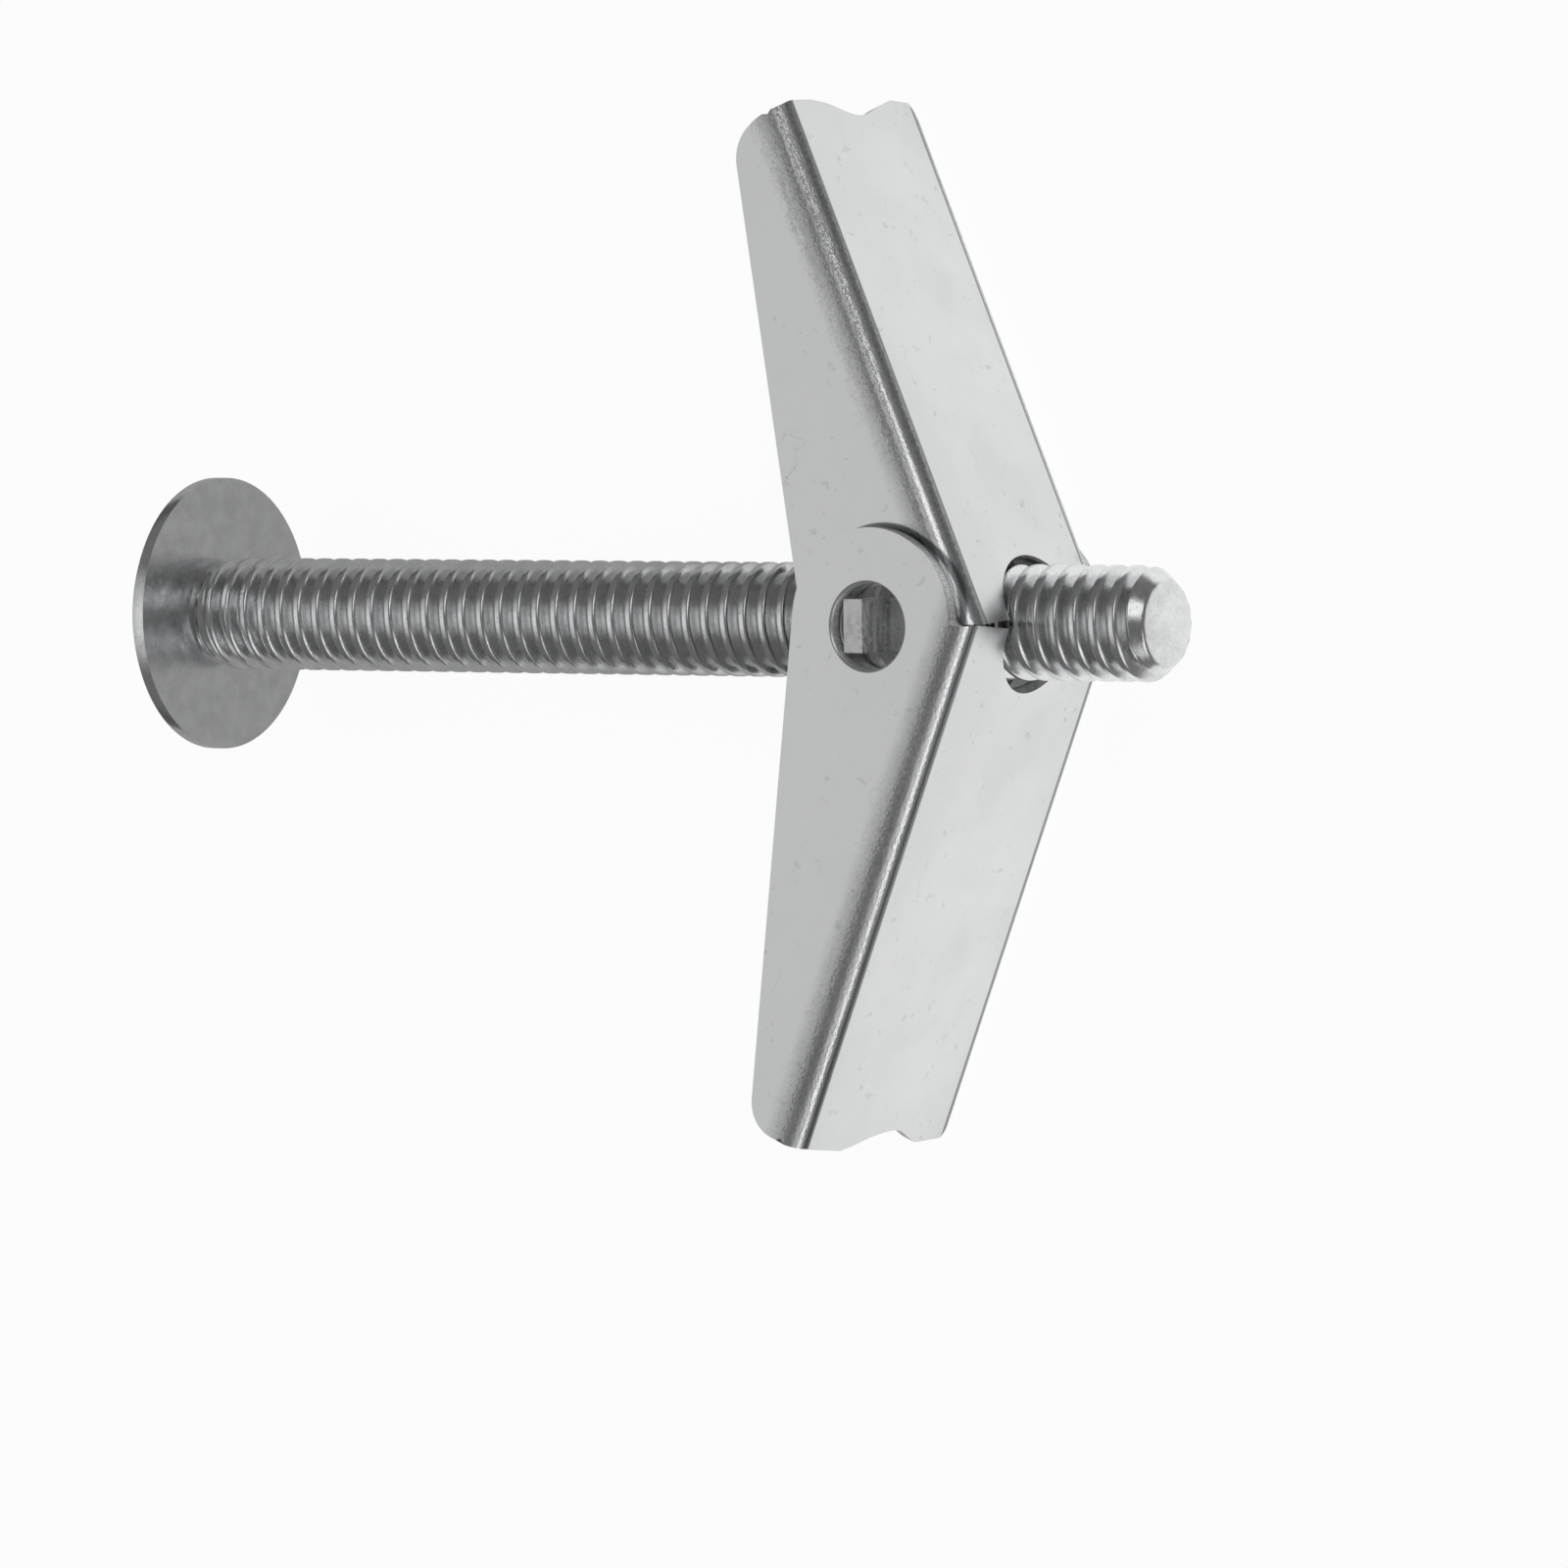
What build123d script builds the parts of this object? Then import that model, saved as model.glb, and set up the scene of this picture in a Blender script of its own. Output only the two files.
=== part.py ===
# Toggle bolt: a slotted machine screw, a formed trunnion nut, two sprung sheet wings and their spring.
# X runs along the screw towards its tip, from the bearing face of the head at X = 0.
# Z is the wing pivot's direction, and +Y is the inner wing's side. All sizes are in millimetres.
from build123d import *
import math
import os

os.makedirs("parts", exist_ok=True)

# Wings
sheet = 0.8                  # thickness of the wing sheet
web_height = 5.85            # from the pivot to the outer face of a web
lean = 22.8                  # mean angle between a web and a plane square to the screw
rock = 0.8                   # the pair is stored turned by this much about the pivot
outer_taper = 15.3           # angle between the web and the free edges of the outer wing's ears
inner_taper = 14.6
bend_inside = 0.55           # inside radius of the sheet's bends
hole_radius = 2.35
hole_rim_round = 0.18
corner_round = 0.35          # where the round of an ear meets the seam
seam_gap = 0.06              # between the two webs' root edges
nest_gap = 0.2               # between the round of an inner ear and the outer web as it turns by
ear_gap = 0.15               # between an inner ear and the outer ear beside it
outer_width = 15.5           # over the outer wing's ears
outer_web_end = 28.65        # from the pivot to the crest of the web's tip edge
inner_web_end = 28.4
ear_setback = 0.4            # how far an ear ends short of its web
outer_tip_round = 2.0
inner_tip_round = 2.3
outer_root_radius = 5.1      # round of the outer ears, and how far its centre lies off the pivot
outer_root_shift = (0.1, -0.3)
opening_half_width = 3.6     # the half round notch that the screw passes through
opening_offset = -0.3
opening_start = -2.3
inner_opening_end = 1.4
outer_opening_end = 1.8

# Screw
screw_length = 63.5          # from under the head to the tip
screw_radius = 3.15          # over the thread crests
tip_face_radius = 2.36
tip_chamfer_length = 1.0
head_lift = 0.1              # how much higher the head's rim is than the outer ears as the part lies
head_height = 3.6
head_rim = 0.7               # straight wall of the head's rim
slot_width = 1.7
slot_depth = 2.0
tip_beyond_pivot = 14.2      # how far the screw's tip stands past the pivot as stored

# Spring
wire_radius = 0.3
coil_radius = 2.75
coil_gap = 0.04              # between a coil and what it turns against, and between its turns
leg_gap = 0.06               # between a leg's wire and the web it presses on
leg_reach = 11.0             # from the pivot to the bridge, along a web
leg_bend = 1.0
foot = 1.6                   # turned in end of a leg on the outer wing

# Nut
strap = 1.2                  # thickness of the nut's strip
strap_bend = 0.3             # inside radius of its bends
arm_half_width = 1.45
arm_back = -1.8              # head side face of an arm, seen from the pivot
arm_recess = 0.4             # how far an arm ends inside the outer ear's face
thread_clearance = 0.05
mouth_depth = 0.5            # lead in at the tapped bore's mouth
disc_radius = 4.55
disc_back = 1.6              # head side face of the disc, seen from the pivot
disc_rim_round = 1.15        # lets the webs swing past the disc
collar_wall = 0.55
collar_end = -1.9

# Sizes that follow from the ones above
bend_radius = bend_inside + sheet
inner_width = outer_width - 2 * sheet - 2 * ear_gap
inner_root_radius = web_height - sheet - nest_gap
head_radius = outer_width / 2 - head_lift
coil_high = inner_width / 2 - sheet - coil_gap - wire_radius
coil_low = coil_high - 2 * wire_radius - coil_gap / 2
strap_half_span = coil_low - wire_radius - coil_gap
arm_end = outer_width / 2 - arm_recess
collar_radius = screw_radius + thread_clearance + collar_wall
pivot_x = screw_length - tip_beyond_pivot


def make_screw():
    """Fully threaded screw with a slotted low dome head, the thread shown by its crest cylinder."""
    tip = screw_length
    side = Polyline((0, 0), (0, screw_radius), (tip - tip_chamfer_length, screw_radius),
                    (tip, tip_face_radius), (tip, 0), (0, 0))
    shank = revolve(make_face(side), Axis.X)
    rise = head_height - head_rim
    dome = (head_radius ** 2 + rise ** 2) / (2 * rise)
    half = math.asin(head_radius / dome) / 2
    crown = (dome - head_height - dome * math.cos(half), dome * math.sin(half))
    outline = (Line((0, 0), (0, head_radius)) + Line((0, head_radius), (-head_rim, head_radius))
               + ThreePointArc((-head_rim, head_radius), crown, (-head_height, 0))
               + Line((-head_height, 0), (0, 0)))
    head = revolve(make_face(outline), Axis.X)
    slot = Pos(-head_height, 0, 0) * Box(2 * slot_depth, slot_width, 4 * head_radius)
    return (head - slot) + shank


def ear_outline(root_radius, root_shift, taper, tip_round, web_end):
    """One ear seen along the pivot: X is the web's side, Y runs from the pivot to the wing's tip.
    The free edge runs off the round of the root as a tangent."""
    lean_slope = math.tan(math.radians(lean))
    slope, turn = math.tan(math.radians(taper)), math.radians(taper)
    touch = (root_shift[0] - root_radius * math.cos(turn), root_shift[1] + root_radius * math.sin(turn))
    ear_end = web_end - ear_setback
    blunt_point = (touch[0] + (ear_end - touch[1]) * slope, ear_end)
    gap = seam_gap / 2 / math.cos(math.radians(lean))
    corner = (web_height, gap - web_height * lean_slope)
    body = Polyline(corner, (web_height, web_end), (web_height - sheet, web_end),
                    (web_height - bend_radius, ear_end), blunt_point, touch, (0, gap), corner)
    blade = make_face(body)
    blunt = blade.vertices().sort_by_distance(blunt_point)[0]
    blade = fillet(blunt, tip_round)
    round_end = Pos(root_shift[0], root_shift[1]) * Circle(root_radius)
    outline = blade + round_end
    meet = (root_radius * math.cos(math.radians(lean)), -root_radius * math.sin(math.radians(lean)))
    inside_corner = outline.vertices().sort_by_distance(meet)[0]
    return fillet(inside_corner, corner_round)


def channel(width):
    """Long U section with bent corners, the web at X = web_height and the ears towards the head."""
    depth = web_height + 2 * outer_root_radius

    def section(half, top, radius):
        box = make_face(Polyline((-depth, -half), (top, -half), (top, half), (-depth, half), (-depth, -half)))
        return fillet(box.vertices().group_by(Axis.X)[-1], radius)
    outside = section(width / 2, web_height, bend_radius)
    inside = section(width / 2 - sheet, web_height - sheet, bend_radius - sheet)
    profile = Plane(origin=(0, 0, 0), x_dir=(1, 0, 0), z_dir=(0, -1, 0)) * (outside - inside)
    return Pos(0, outer_web_end + depth, 0) * extrude(profile, outer_web_end + 2 * depth)


def wave_cut(wave, web_end):
    """Cutter for the wavy tip edge of a web. wave lists how deep the edge dips at each Z across it."""
    edge = [(web_end - dip, z) for z, dip in wave]
    first, last, beyond = edge[0], edge[-1], web_end + sheet
    outline = Spline(edge) + Polyline(last, (beyond, last[1]), (beyond, first[1]), first)
    plane = Plane(origin=(web_height - 2 * sheet, 0, 0), x_dir=(0, 1, 0), z_dir=(1, 0, 0))
    return extrude(plane * make_face(outline), 3 * sheet)


def make_wing(width, root_radius, root_shift, taper, tip_round, wave, web_end, opening_end):
    """One wing in its own frame: pivot along Z at the origin, tip towards +Y, web square to X."""
    ears = ear_outline(root_radius, root_shift, taper, tip_round, web_end)
    wing = channel(width) & extrude(ears, width, both=True)
    wing -= wave_cut(wave, web_end)
    plane = Plane(origin=(web_height - 2 * sheet, 0, 0), x_dir=(0, 1, 0), z_dir=(1, 0, 0))
    notch = Pos(opening_start, opening_offset) * Ellipse(opening_end - opening_start, opening_half_width)
    wing -= extrude(plane * notch, 3 * sheet)
    wing -= Cylinder(hole_radius, 2 * width)
    rims = wing.edges().filter_by(GeomType.CIRCLE).filter_by(
        lambda e: abs(e.radius - hole_radius) < 0.01 and abs(abs(e.center().Z) - width / 2) < 0.05)
    return fillet(rims, hole_rim_round)


def place_inner(local):
    return Pos(pivot_x, 0, 0) * Rot(0, 0, lean + rock) * local


def place_outer(local):
    return Pos(pivot_x, 0, 0) * Rot(0, 0, rock - lean) * mirror(local, Plane.XZ)


def make_inner_wing():
    wave = [(4.9, -0.4), (3.5, 0.05), (2.41, 0.21), (1.47, 0.5), (0.52, 0.8), (-0.45, 0.95), (-1.13, 0.86),
            (-1.84, 0.63), (-2.55, 0.39), (-3.5, 0.1), (-4.9, -0.4)]
    return place_inner(make_wing(inner_width, inner_root_radius, (0, 0), inner_taper, inner_tip_round, wave,
                                 inner_web_end, inner_opening_end))


def make_outer_wing():
    wave = [(3.9, -0.4), (3.0, 0.05), (2.3, 0.17), (1.57, 0.37), (0.59, 0.62), (-0.47, 0.79), (-1.56, 0.87),
            (-2.25, 0.75), (-3.0, 0.4), (-3.8, 0.07), (-4.7, -0.4)]
    return place_outer(make_wing(outer_width, outer_root_radius, outer_root_shift, outer_taper,
                                 outer_tip_round, wave, outer_web_end, outer_opening_end))


def make_nut():
    """Strip drawn to a tapped collar, bent back at both sides and out again into two arms."""
    x0, x1 = arm_back, arm_back + strap
    d0, d1 = disc_back, disc_back + strap
    leg = strap_half_span
    face = make_face(Polyline((d1, 0), (d1, leg), (x1, leg), (x1, arm_end), (x0, arm_end), (x0, leg - strap),
                              (d0, leg - strap), (d0, 0), (d1, 0)))
    bends = [((d1, leg), strap + strap_bend), ((d0, leg - strap), strap_bend),
             ((x0, leg - strap), strap + strap_bend), ((x1, leg), strap_bend)]
    for point, radius in bends:
        corner = face.vertices().sort_by_distance(point)[0]
        face = fillet(corner, radius)
    plane = Plane(origin=(0, 0, 0), x_dir=(1, 0, 0), z_dir=(0, -1, 0))
    half = Pos(0, disc_radius, 0) * extrude(plane * face, 2 * disc_radius)
    band = half + mirror(half, Plane.XY)
    side = Plane(origin=(2 * arm_back, 0, 0), x_dir=(0, 1, 0), z_dir=(1, 0, 0))
    disc = Pos(x0, 0, 0) * Rot(0, 90, 0) * Cylinder(
        disc_radius, d1 - x0, align=(Align.CENTER, Align.CENTER, Align.MIN))
    disc = fillet(disc.edges().sort_by(Axis.X)[-1], disc_rim_round)
    arms = extrude(side * Rectangle(2 * arm_half_width, 2 * arm_end + strap), d1 - 2 * arm_back)
    body = band & (disc + arms)
    collar = Pos(collar_end, 0, 0) * Rot(0, 90, 0) * Cylinder(
        collar_radius, disc_back - collar_end + strap / 2, align=(Align.CENTER, Align.CENTER, Align.MIN))
    bore_radius = screw_radius + thread_clearance
    bore = Rot(0, 90, 0) * Cylinder(bore_radius, 2 * arm_end)
    mouth = Pos(d1 - mouth_depth / 2, 0, 0) * Rot(0, 90, 0) * Cone(bore_radius, bore_radius + mouth_depth,
                                                                 mouth_depth)
    return Pos(pivot_x, 0, 0) * (body + collar - bore - mouth)


def leg_line(turn, side):
    """Where a leg leaves its coil and where it ends, for the web turned by turn about the pivot."""
    reach = web_height - sheet - wire_radius - leg_gap
    end = Vector(reach, side * leg_reach, 0).rotate(Axis.Z, turn)
    angle = math.atan2(end.Y, end.X) - side * math.acos(coil_radius / math.hypot(end.X, end.Y))
    return math.degrees(angle), end


def make_spring():
    """Double torsion spring: a coil round each arm, legs on both webs, one pair joined by a bridge."""
    inner_angle, inner_end = leg_line(lean + rock, 1)
    outer_angle, outer_end = leg_line(rock - lean, -1)
    sweep = 360 + inner_angle - outer_angle

    def on_coil(share):
        turn = math.radians(inner_angle - sweep * share)
        rise = (1 - math.cos(math.pi * share)) / 2
        return Vector(coil_radius * math.cos(turn), coil_radius * math.sin(turn),
                      coil_low + (coil_high - coil_low) * rise)

    def heading(angle):
        return Vector(math.sin(math.radians(angle)), -math.cos(math.radians(angle)), 0)

    coil = Spline([on_coil(k / 24) for k in range(25)], tangents=[heading(inner_angle), heading(outer_angle)])
    low_end, high_end = inner_end + Vector(0, 0, coil_low), outer_end + Vector(0, 0, coil_high)
    bridged = FilletPolyline(inner_end, low_end, coil @ 0, radius=leg_bend)
    free = FilletPolyline(coil @ 1, high_end, high_end - Vector(0, 0, foot), radius=leg_bend)
    path = Wire(bridged.edges() + coil.edges() + free.edges())
    start = Plane(origin=path @ 0, z_dir=path % 0)
    half = sweep_round(start, path)
    return Pos(pivot_x, 0, 0) * (half + mirror(half, Plane.XY))


def sweep_round(start, path):
    return sweep(start * Circle(wire_radius), path=path)


def write(solid, name):
    solid.label = name
    export_step(solid, "parts/" + name + ".step")
    box = solid.bounding_box()
    print(name, "volume", round(solid.volume, 1), "from", box.min, "to", box.max)


write(make_screw(), "machine_screw")
write(make_inner_wing(), "inner_wing")
write(make_outer_wing(), "outer_wing")
write(make_nut(), "trunnion_nut")
write(make_spring(), "wing_spring")
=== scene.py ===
# %% [markdown]
# # A sprung toggle bolt in Blender
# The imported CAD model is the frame: five steel pieces that already sit in their right places, in
# metres, with X along the screw and Z along the wings' pivot. This lesson dresses it. The screw gets
# its real thread, the sheet pieces get the soft edges that a press leaves, the spring gets wire, and
# everything gets a zinc finish.

# %% Load the frame
import bpy, bmesh, math
from mathutils import Matrix, Vector


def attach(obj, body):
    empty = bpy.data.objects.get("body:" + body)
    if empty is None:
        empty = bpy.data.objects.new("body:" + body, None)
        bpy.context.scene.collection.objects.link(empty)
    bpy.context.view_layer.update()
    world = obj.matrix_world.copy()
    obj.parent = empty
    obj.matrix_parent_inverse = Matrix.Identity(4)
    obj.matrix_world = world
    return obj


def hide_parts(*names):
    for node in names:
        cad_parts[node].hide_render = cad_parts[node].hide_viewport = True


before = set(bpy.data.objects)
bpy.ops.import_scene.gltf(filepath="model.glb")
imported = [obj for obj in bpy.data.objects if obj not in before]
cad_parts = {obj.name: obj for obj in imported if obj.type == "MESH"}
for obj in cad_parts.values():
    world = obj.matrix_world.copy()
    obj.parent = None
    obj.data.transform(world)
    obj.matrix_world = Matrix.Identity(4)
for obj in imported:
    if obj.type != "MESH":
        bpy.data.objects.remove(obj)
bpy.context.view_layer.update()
MM = 0.001
PIVOT = Vector((49.3 * MM, 0, 0))
print("nodes:", sorted(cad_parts))

# %% [markdown]
# ## Small tools for meshes
# Each piece below ends as one mesh object whose place is in its points, so that it can ride on a
# body of the frame. Shading is smooth except over edges that turn by more than a given angle: pressed
# edges stay crisp and bends stay round. Weighted normals then let the large flat faces keep their own
# direction, so that flat sheet also mirrors as flat sheet does.

# %% Mesh helpers
MERGE_DISTANCE = 1e-6


def new_object(name, mesh):
    """An object at the origin, linked to the scene."""
    piece = bpy.data.objects.new(name, mesh)
    bpy.context.scene.collection.objects.link(piece)
    return piece


def bake_modifiers(piece):
    """Swaps the piece's mesh for what its modifiers make of it, as plain data."""
    graph = bpy.context.evaluated_depsgraph_get()
    mesh = bpy.data.meshes.new_from_object(piece.evaluated_get(graph), depsgraph=graph)
    piece.modifiers.clear()
    piece.data = mesh
    return piece


def outward(piece):
    """Turns every face of a closed piece outwards."""
    work = bmesh.new()
    work.from_mesh(piece.data)
    bmesh.ops.recalc_face_normals(work, faces=work.faces)
    work.to_mesh(piece.data)
    work.free()
    return piece


def smooth_by_angle(piece, degrees):
    """Smooth shading, with a crease along each edge that turns by more than the angle."""
    mesh = piece.data
    mesh.polygons.foreach_set("use_smooth", [True] * len(mesh.polygons))
    work = bmesh.new()
    work.from_mesh(mesh)
    for edge in work.edges:
        closed = len(edge.link_faces) == 2
        edge.smooth = closed and edge.calc_face_angle(0) < math.radians(degrees)
    work.to_mesh(mesh)
    work.free()
    return piece


def flat_faces_first(piece):
    """Large faces keep their own normal and the narrow ones beside them take up the turn."""
    weigh = piece.modifiers.new("flat_faces", "WEIGHTED_NORMAL")
    weigh.mode, weigh.weight, weigh.keep_sharp = "FACE_AREA", 100, True
    return bake_modifiers(piece)


def soften_edges(piece, width, sharp):
    """Rounds each edge that turns by more than the angle sharp, then shades and reports the piece."""
    bevel = piece.modifiers.new("soft_edge", "BEVEL")
    bevel.width, bevel.segments, bevel.limit_method = width * MM, 3, "ANGLE"
    bevel.angle_limit, bevel.use_clamp_overlap = math.radians(sharp), True
    bake_modifiers(piece)
    smooth_by_angle(piece, 30)
    flat_faces_first(piece)
    print(piece.name, "edges rounded by", width, "mm, faces:", len(piece.data.polygons))


print("frame meshes:", {node: len(part.data.polygons) for node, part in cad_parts.items()})

# %% [markdown]
# ## The stamped pieces
# The wings and the nut are stamped from sheet and bent. Their CAD meshes are loose triangles, which
# no modifier can work on. So each is copied, its points are merged and its flat areas are joined back
# into single faces. A copy is used because the frame's own meshes stay as they are.

# %% Merged copies of the stamped pieces
FLAT_ANGLE = 0.6


def merged_copy(node, name):
    """A copy of a CAD node's mesh as one skin, with its flat areas joined into single faces."""
    piece = new_object(name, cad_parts[node].data.copy())
    piece.data.materials.clear()
    work = bmesh.new()
    work.from_mesh(piece.data)
    bmesh.ops.remove_doubles(work, verts=work.verts, dist=MERGE_DISTANCE)
    bmesh.ops.dissolve_limit(work, angle_limit=math.radians(FLAT_ANGLE), verts=work.verts,
                             edges=work.edges, delimit=set())
    work.to_mesh(piece.data)
    work.free()
    if piece.data.has_custom_normals:
        piece.data.attributes.remove(piece.data.attributes["custom_normal"])
    print(name, "faces after joining:", len(piece.data.polygons))
    return piece


inner_wing = merged_copy("inner_wing", "inner_wing_sheet")
outer_wing = merged_copy("outer_wing", "outer_wing_sheet")
nut = merged_copy("trunnion_nut", "trunnion_nut_strip")

# %% [markdown]
# ## Trimming the wings' ends
# A press draws the sheet in where it bends, so a wing's ends are a little shorter round the bends and
# its corners are rounder than the CAD model's. A list gives the trim in millimetres for places across
# the sheet, counted from the web's middle and on round each bend, with the camera's side positive.
# The trim fades out along the wing, so that flat faces stay flat. Moving the points by a list is
# simpler here than a cut, because the mesh keeps its faces. The outer wing's lower ear also has a
# slightly smaller round than its upper one.

# %% Sizes of the wings, in millimetres and degrees
WEB_HEIGHT, SHEET, BEND_OUTSIDE = 5.85, 0.8, 1.35
BEND_START = WEB_HEIGHT - BEND_OUTSIDE
WING = {
    "inner": {
        "width": 13.6, "turn": 23.6, "flip": 1.0, "ear_out": 0.14, "far_round": 0.0,
        "tip": [(-6.8, -1.8), (-5.95, -1.4), (-5.45, -0.25), (-5.0, -0.02), (-4.2, -0.12),
                (-3.4, 0.0), (5.0, 0.0), (5.45, -0.02), (5.75, -0.07), (6.1, -0.2), (6.8, -0.25)],
        "root": [(-5.6, 0.0), (-3.3, 0.16), (3.3, 0.16), (5.6, 0.0)]},
    "outer": {
        "width": 15.5, "turn": -22.0, "flip": -1.0, "ear_out": 0.0, "far_round": 0.35,
        "tip": [(-7.75, -1.4), (-6.9, -0.95), (-6.6, -0.4), (-6.4, -0.05), (-6.1, 0.15),
                (-5.6, 0.15), (-4.7, 0.06), (-3.0, 0.0), (3.2, 0.0), (4.0, -0.05), (5.2, -0.27),
                (6.4, -0.37), (7.75, -0.33)],
        "root": [(-6.5, 0.0), (-3.3, 0.30), (3.3, 0.30), (6.5, 0.0)]}}
# Places between which a trim grows to its full size: along the wing for the tip and the root, and
# out from the pivot for the ear. The round's pull grows backwards along the wing and outwards.
TIP_FADE, ROOT_FADE, EAR_FADE = (24.0, 27.2), (0.4, -1.6), (3.4, 4.5)
ROUND_FADES = (0.0, 1.5), (-1.0, 0.5)
# Points further from the pivot than ROUND_RIM lie on the ear's round and not on its hole, and
# EAR_EDGE is how far round the bend a point may be and still count as the ear's.
ROUND_RIM, EAR_EDGE = 4.0, 0.02
print("wings:", {key: (wing["width"], wing["turn"]) for key, wing in WING.items()})


# %% Trims by place
def listed(pairs, place):
    """The value at a place in a list of (place, value), on straight lines between them."""
    place = min(max(place, pairs[0][0]), pairs[-1][0])
    for (a, low), (b, high) in zip(pairs, pairs[1:]):
        if place <= b:
            return low + (high - low) * (place - a) / (b - a)


def share(value, start, full):
    """0 at the start and 1 at the full place, on a straight line between and held outside."""
    return min(max((value - start) / (full - start), 0.0), 1.0)


def across_sheet(place, half):
    """How far a point is from the web's middle, counted round the bend. An ear is the bend's end."""
    side = abs(place.z) - half
    if side <= 0:
        return place.z
    bend = math.atan2(max(place.x - BEND_START, 0.0), side) / math.radians(90)
    return math.copysign(half + BEND_OUTSIDE * (1 - bend), place.z)


def trim_ends(mesh, wing):
    """Moves the points at a wing's two ends along the wing, by their place across the sheet."""
    turned = Matrix.Rotation(math.radians(wing["turn"]), 4, "Z")
    back = turned.inverted()
    half = wing["width"] / 2 - BEND_OUTSIDE
    for vertex in mesh.vertices:
        place = back @ (vertex.co - PIVOT) / MM
        along, across = place.y * wing["flip"], across_sheet(place, half)
        on_ear = abs(place.z) > half and place.x - BEND_START < EAR_EDGE
        if on_ear and place.z > 0:
            move = wing["ear_out"] * share(place.x, *EAR_FADE) * share(along, *TIP_FADE)
        else:
            move = listed(wing["tip"], across) * share(along, *TIP_FADE)
        if place.x > BEND_START:
            move += listed(wing["root"], across) * share(along, *ROOT_FADE)
        if on_ear and place.z < 0 and along < 0 and math.hypot(place.x, along) > ROUND_RIM:
            pull = share(-along, *ROUND_FADES[0]) * share(place.x, *ROUND_FADES[1])
            inward = (vertex.co - PIVOT).normalized()
            vertex.co -= inward * (wing["far_round"] * pull * MM)
        vertex.co += turned @ Vector((0, move * wing["flip"] * MM, 0))


for piece, key in ((inner_wing, "inner"), (outer_wing, "outer")):
    trim_ends(piece.data, WING[key])
    print(piece.name, "trimmed by up to", -min(trim for place, trim in WING[key]["tip"]), "mm")

# %% [markdown]
# ## Soft edges
# A punch leaves one edge of the sheet rolled over and the other one burred, and tumbling in the
# plating barrel takes the burr off. So no edge is razor sharp. A Bevel modifier limited by angle
# rounds just the sharp ones: about a tenth of a millimetre on the sheet, more on the thick nut.

# %% Rounded edges on the stamped pieces
SHEET_EDGE, NUT_EDGE, STAMPED_SHARP = 0.11, 0.28, 40
for piece, width in ((inner_wing, SHEET_EDGE), (outer_wing, SHEET_EDGE), (nut, NUT_EDGE)):
    soften_edges(piece, width, STAMPED_SHARP)

# %% [markdown]
# ## Node trees from expressions
# Both the shapes and the finishes below are made by nodes. Linking sockets one by one hides the idea,
# so a small class wraps a socket and overloads the operators: an expression on wrapped values then
# adds its own Math nodes. One more method adds any other node from its type, its settings and its
# sockets. A socket is named by its label, or by its number as i0, i1 and so on.


# %% Tree builder
class Tree:
    """Adds nodes to a tree: one call takes the type, the settings and the sockets' values or links."""

    def __init__(self, tree):
        self.tree = tree

    def add(self, kind, settings=None, **sockets):
        node = self.tree.nodes.new(kind)
        for key, value in (settings or {}).items():
            setattr(node, key, value)
        for key, value in sockets.items():
            numbered = key[0] == "i" and key[1:].isdigit()
            self.feed(node.inputs[int(key[1:]) if numbered else key.replace("_", " ")], value)
        return node

    def feed(self, socket, value):
        """Links a node's output or a wrapped number to a socket, or sets the socket's own value."""
        value = getattr(value, "out", value)
        if isinstance(value, bpy.types.NodeSocket):
            self.tree.links.new(value, socket)
        else:
            socket.default_value = value

    def parts(self, vector):
        """The three numbers of a vector."""
        split = self.add("ShaderNodeSeparateXYZ", i0=vector)
        return [Num(self, split.outputs[k]) for k in range(3)]


# %% Wrapped numbers
class Num:
    """A number in a node tree that can be used in an ordinary expression."""

    def __init__(self, tree, out):
        self.tree, self.out = tree, out

    def math(self, operation, *values):
        node = self.tree.add("ShaderNodeMath", {"operation": operation})
        for socket, value in zip(node.inputs, (self,) + values):
            self.tree.feed(socket, value)
        return Num(self.tree, node.outputs[0])

    def __add__(self, other): return self.math("ADD", other)
    __radd__ = __add__
    def __mul__(self, other): return self.math("MULTIPLY", other)
    __rmul__ = __mul__
    def __sub__(self, other): return self.math("SUBTRACT", other)
    def __rsub__(self, other): return (self * -1.0) + other
    def __truediv__(self, other): return self.math("DIVIDE", other)
    def __pow__(self, other): return self.math("POWER", other)
    def __gt__(self, other): return self.math("GREATER_THAN", other)
    def sin(self): return self.math("SINE")
    def cos(self): return self.math("COSINE")
    def abs(self): return self.math("ABSOLUTE")
    def least(self, other): return self.math("MINIMUM", other)
    def most(self, other): return self.math("MAXIMUM", other)
    def fraction(self): return self.math("FRACT")
    def angle_from(self, other): return self.math("ARCTAN2", other)

    def ramp(self, low, high, to_low=0.0, to_high=1.0, smooth=False):
        """Maps low..high to to_low..to_high and holds the ends."""
        kind = "SMOOTHSTEP" if smooth else "LINEAR"
        node = self.tree.add("ShaderNodeMapRange", {"interpolation_type": kind}, Value=self,
                             From_Min=low, From_Max=high, To_Min=to_low, To_Max=to_high)
        return Num(self.tree, node.outputs[0])


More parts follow.
